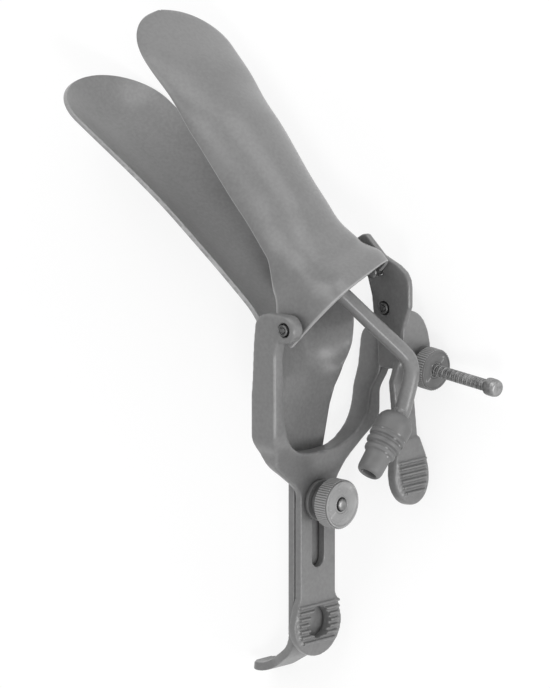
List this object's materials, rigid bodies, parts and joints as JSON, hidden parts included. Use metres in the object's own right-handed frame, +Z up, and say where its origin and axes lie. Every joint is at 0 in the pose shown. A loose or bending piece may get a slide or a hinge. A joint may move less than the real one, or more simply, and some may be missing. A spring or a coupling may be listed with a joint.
{
  "type": "insulated vaginal speculum",
  "caption": "Insulated two-bladed vaginal speculum with a slotted yoke, clamp nut, thumb lever, threaded opening rod and a smoke tube with a stepped hose connector.",
  "frame": {"origin": "centre of the bounding box at floor level, with the instrument lying on its right side", "axes": "+Z up from the floor, +X roughly from the handle towards the blade tips of the upper blade, +Y roughly the way the blades point"},
  "size_m": [0.1854, 0.1412, 0.0586],
  "materials": {
    "coating": "satin grey insulating coating over pressed and forged steel",
    "steel": "bright drawn steel",
    "nylon": "moulded insulating plastic, satin"
  },
  "bodies": {
    "yoke": {"anchor_screw": "steel", "pivot_screw_left": "steel", "pivot_screw_right": "steel", "yoke": "coating"},
    "handle": {"blade_rivet_left": "steel", "blade_rivet_right": "steel", "clamp_stud": "steel", "clamp_washer": "nylon", "lower_blade": "coating", "lower_handle": "coating", "slide_guide": "steel"},
    "clamp": {"clamp_nut": "nylon"},
    "upper": {"hose_connector": "nylon", "lever": "coating", "lever_rivet_front": "steel", "lever_rivet_rear": "steel", "smoke_tube": "coating", "tube_saddle_front": "coating", "tube_saddle_rear": "coating", "upper_blade": "coating"},
    "rod": {"rod_knob": "steel", "threaded_rod": "steel"},
    "nut": {"rod_nut": "nylon"}
  },
  "joints": [
    {"name": "yoke_slide", "type": "slide", "parent": "handle", "child": "yoke", "axis": [0.9806, 0, 0.1958], "range_m": [0, 0.015]},
    {"name": "blade_hinge", "type": "hinge", "parent": "yoke", "child": "upper", "pos_m": [0.01113, -0.0276, 0.03409], "axis": [0.1871, -0.2938, -0.9374], "range_deg": [-17, 12]},
    {"name": "rod_swivel", "type": "hinge", "parent": "yoke", "child": "rod", "pos_m": [0.0007, -0.0278, 0.00359], "axis": [0.1871, -0.2938, -0.9374], "range_deg": [-8.7, 6.2]},
    {"name": "rod_nut_travel", "type": "slide", "parent": "rod", "child": "nut", "axis": [-0.136, -0.9528, 0.2715], "range_m": [-0.00353, 0.005]},
    {"name": "clamp_nut_turn", "type": "hinge", "parent": "handle", "child": "clamp", "pos_m": [-0.04264, -0.02818, 0.02354], "axis": [0.0575, 0.9559, -0.2881], "range_deg": [0, 720]}
  ],
  "couplings": [
    {"joint": "rod_swivel", "follows": "blade_hinge", "ratio": 0.5056},
    {"joint": "rod_nut_travel", "follows": "blade_hinge", "m_per_rad": -0.016789}
  ]
}
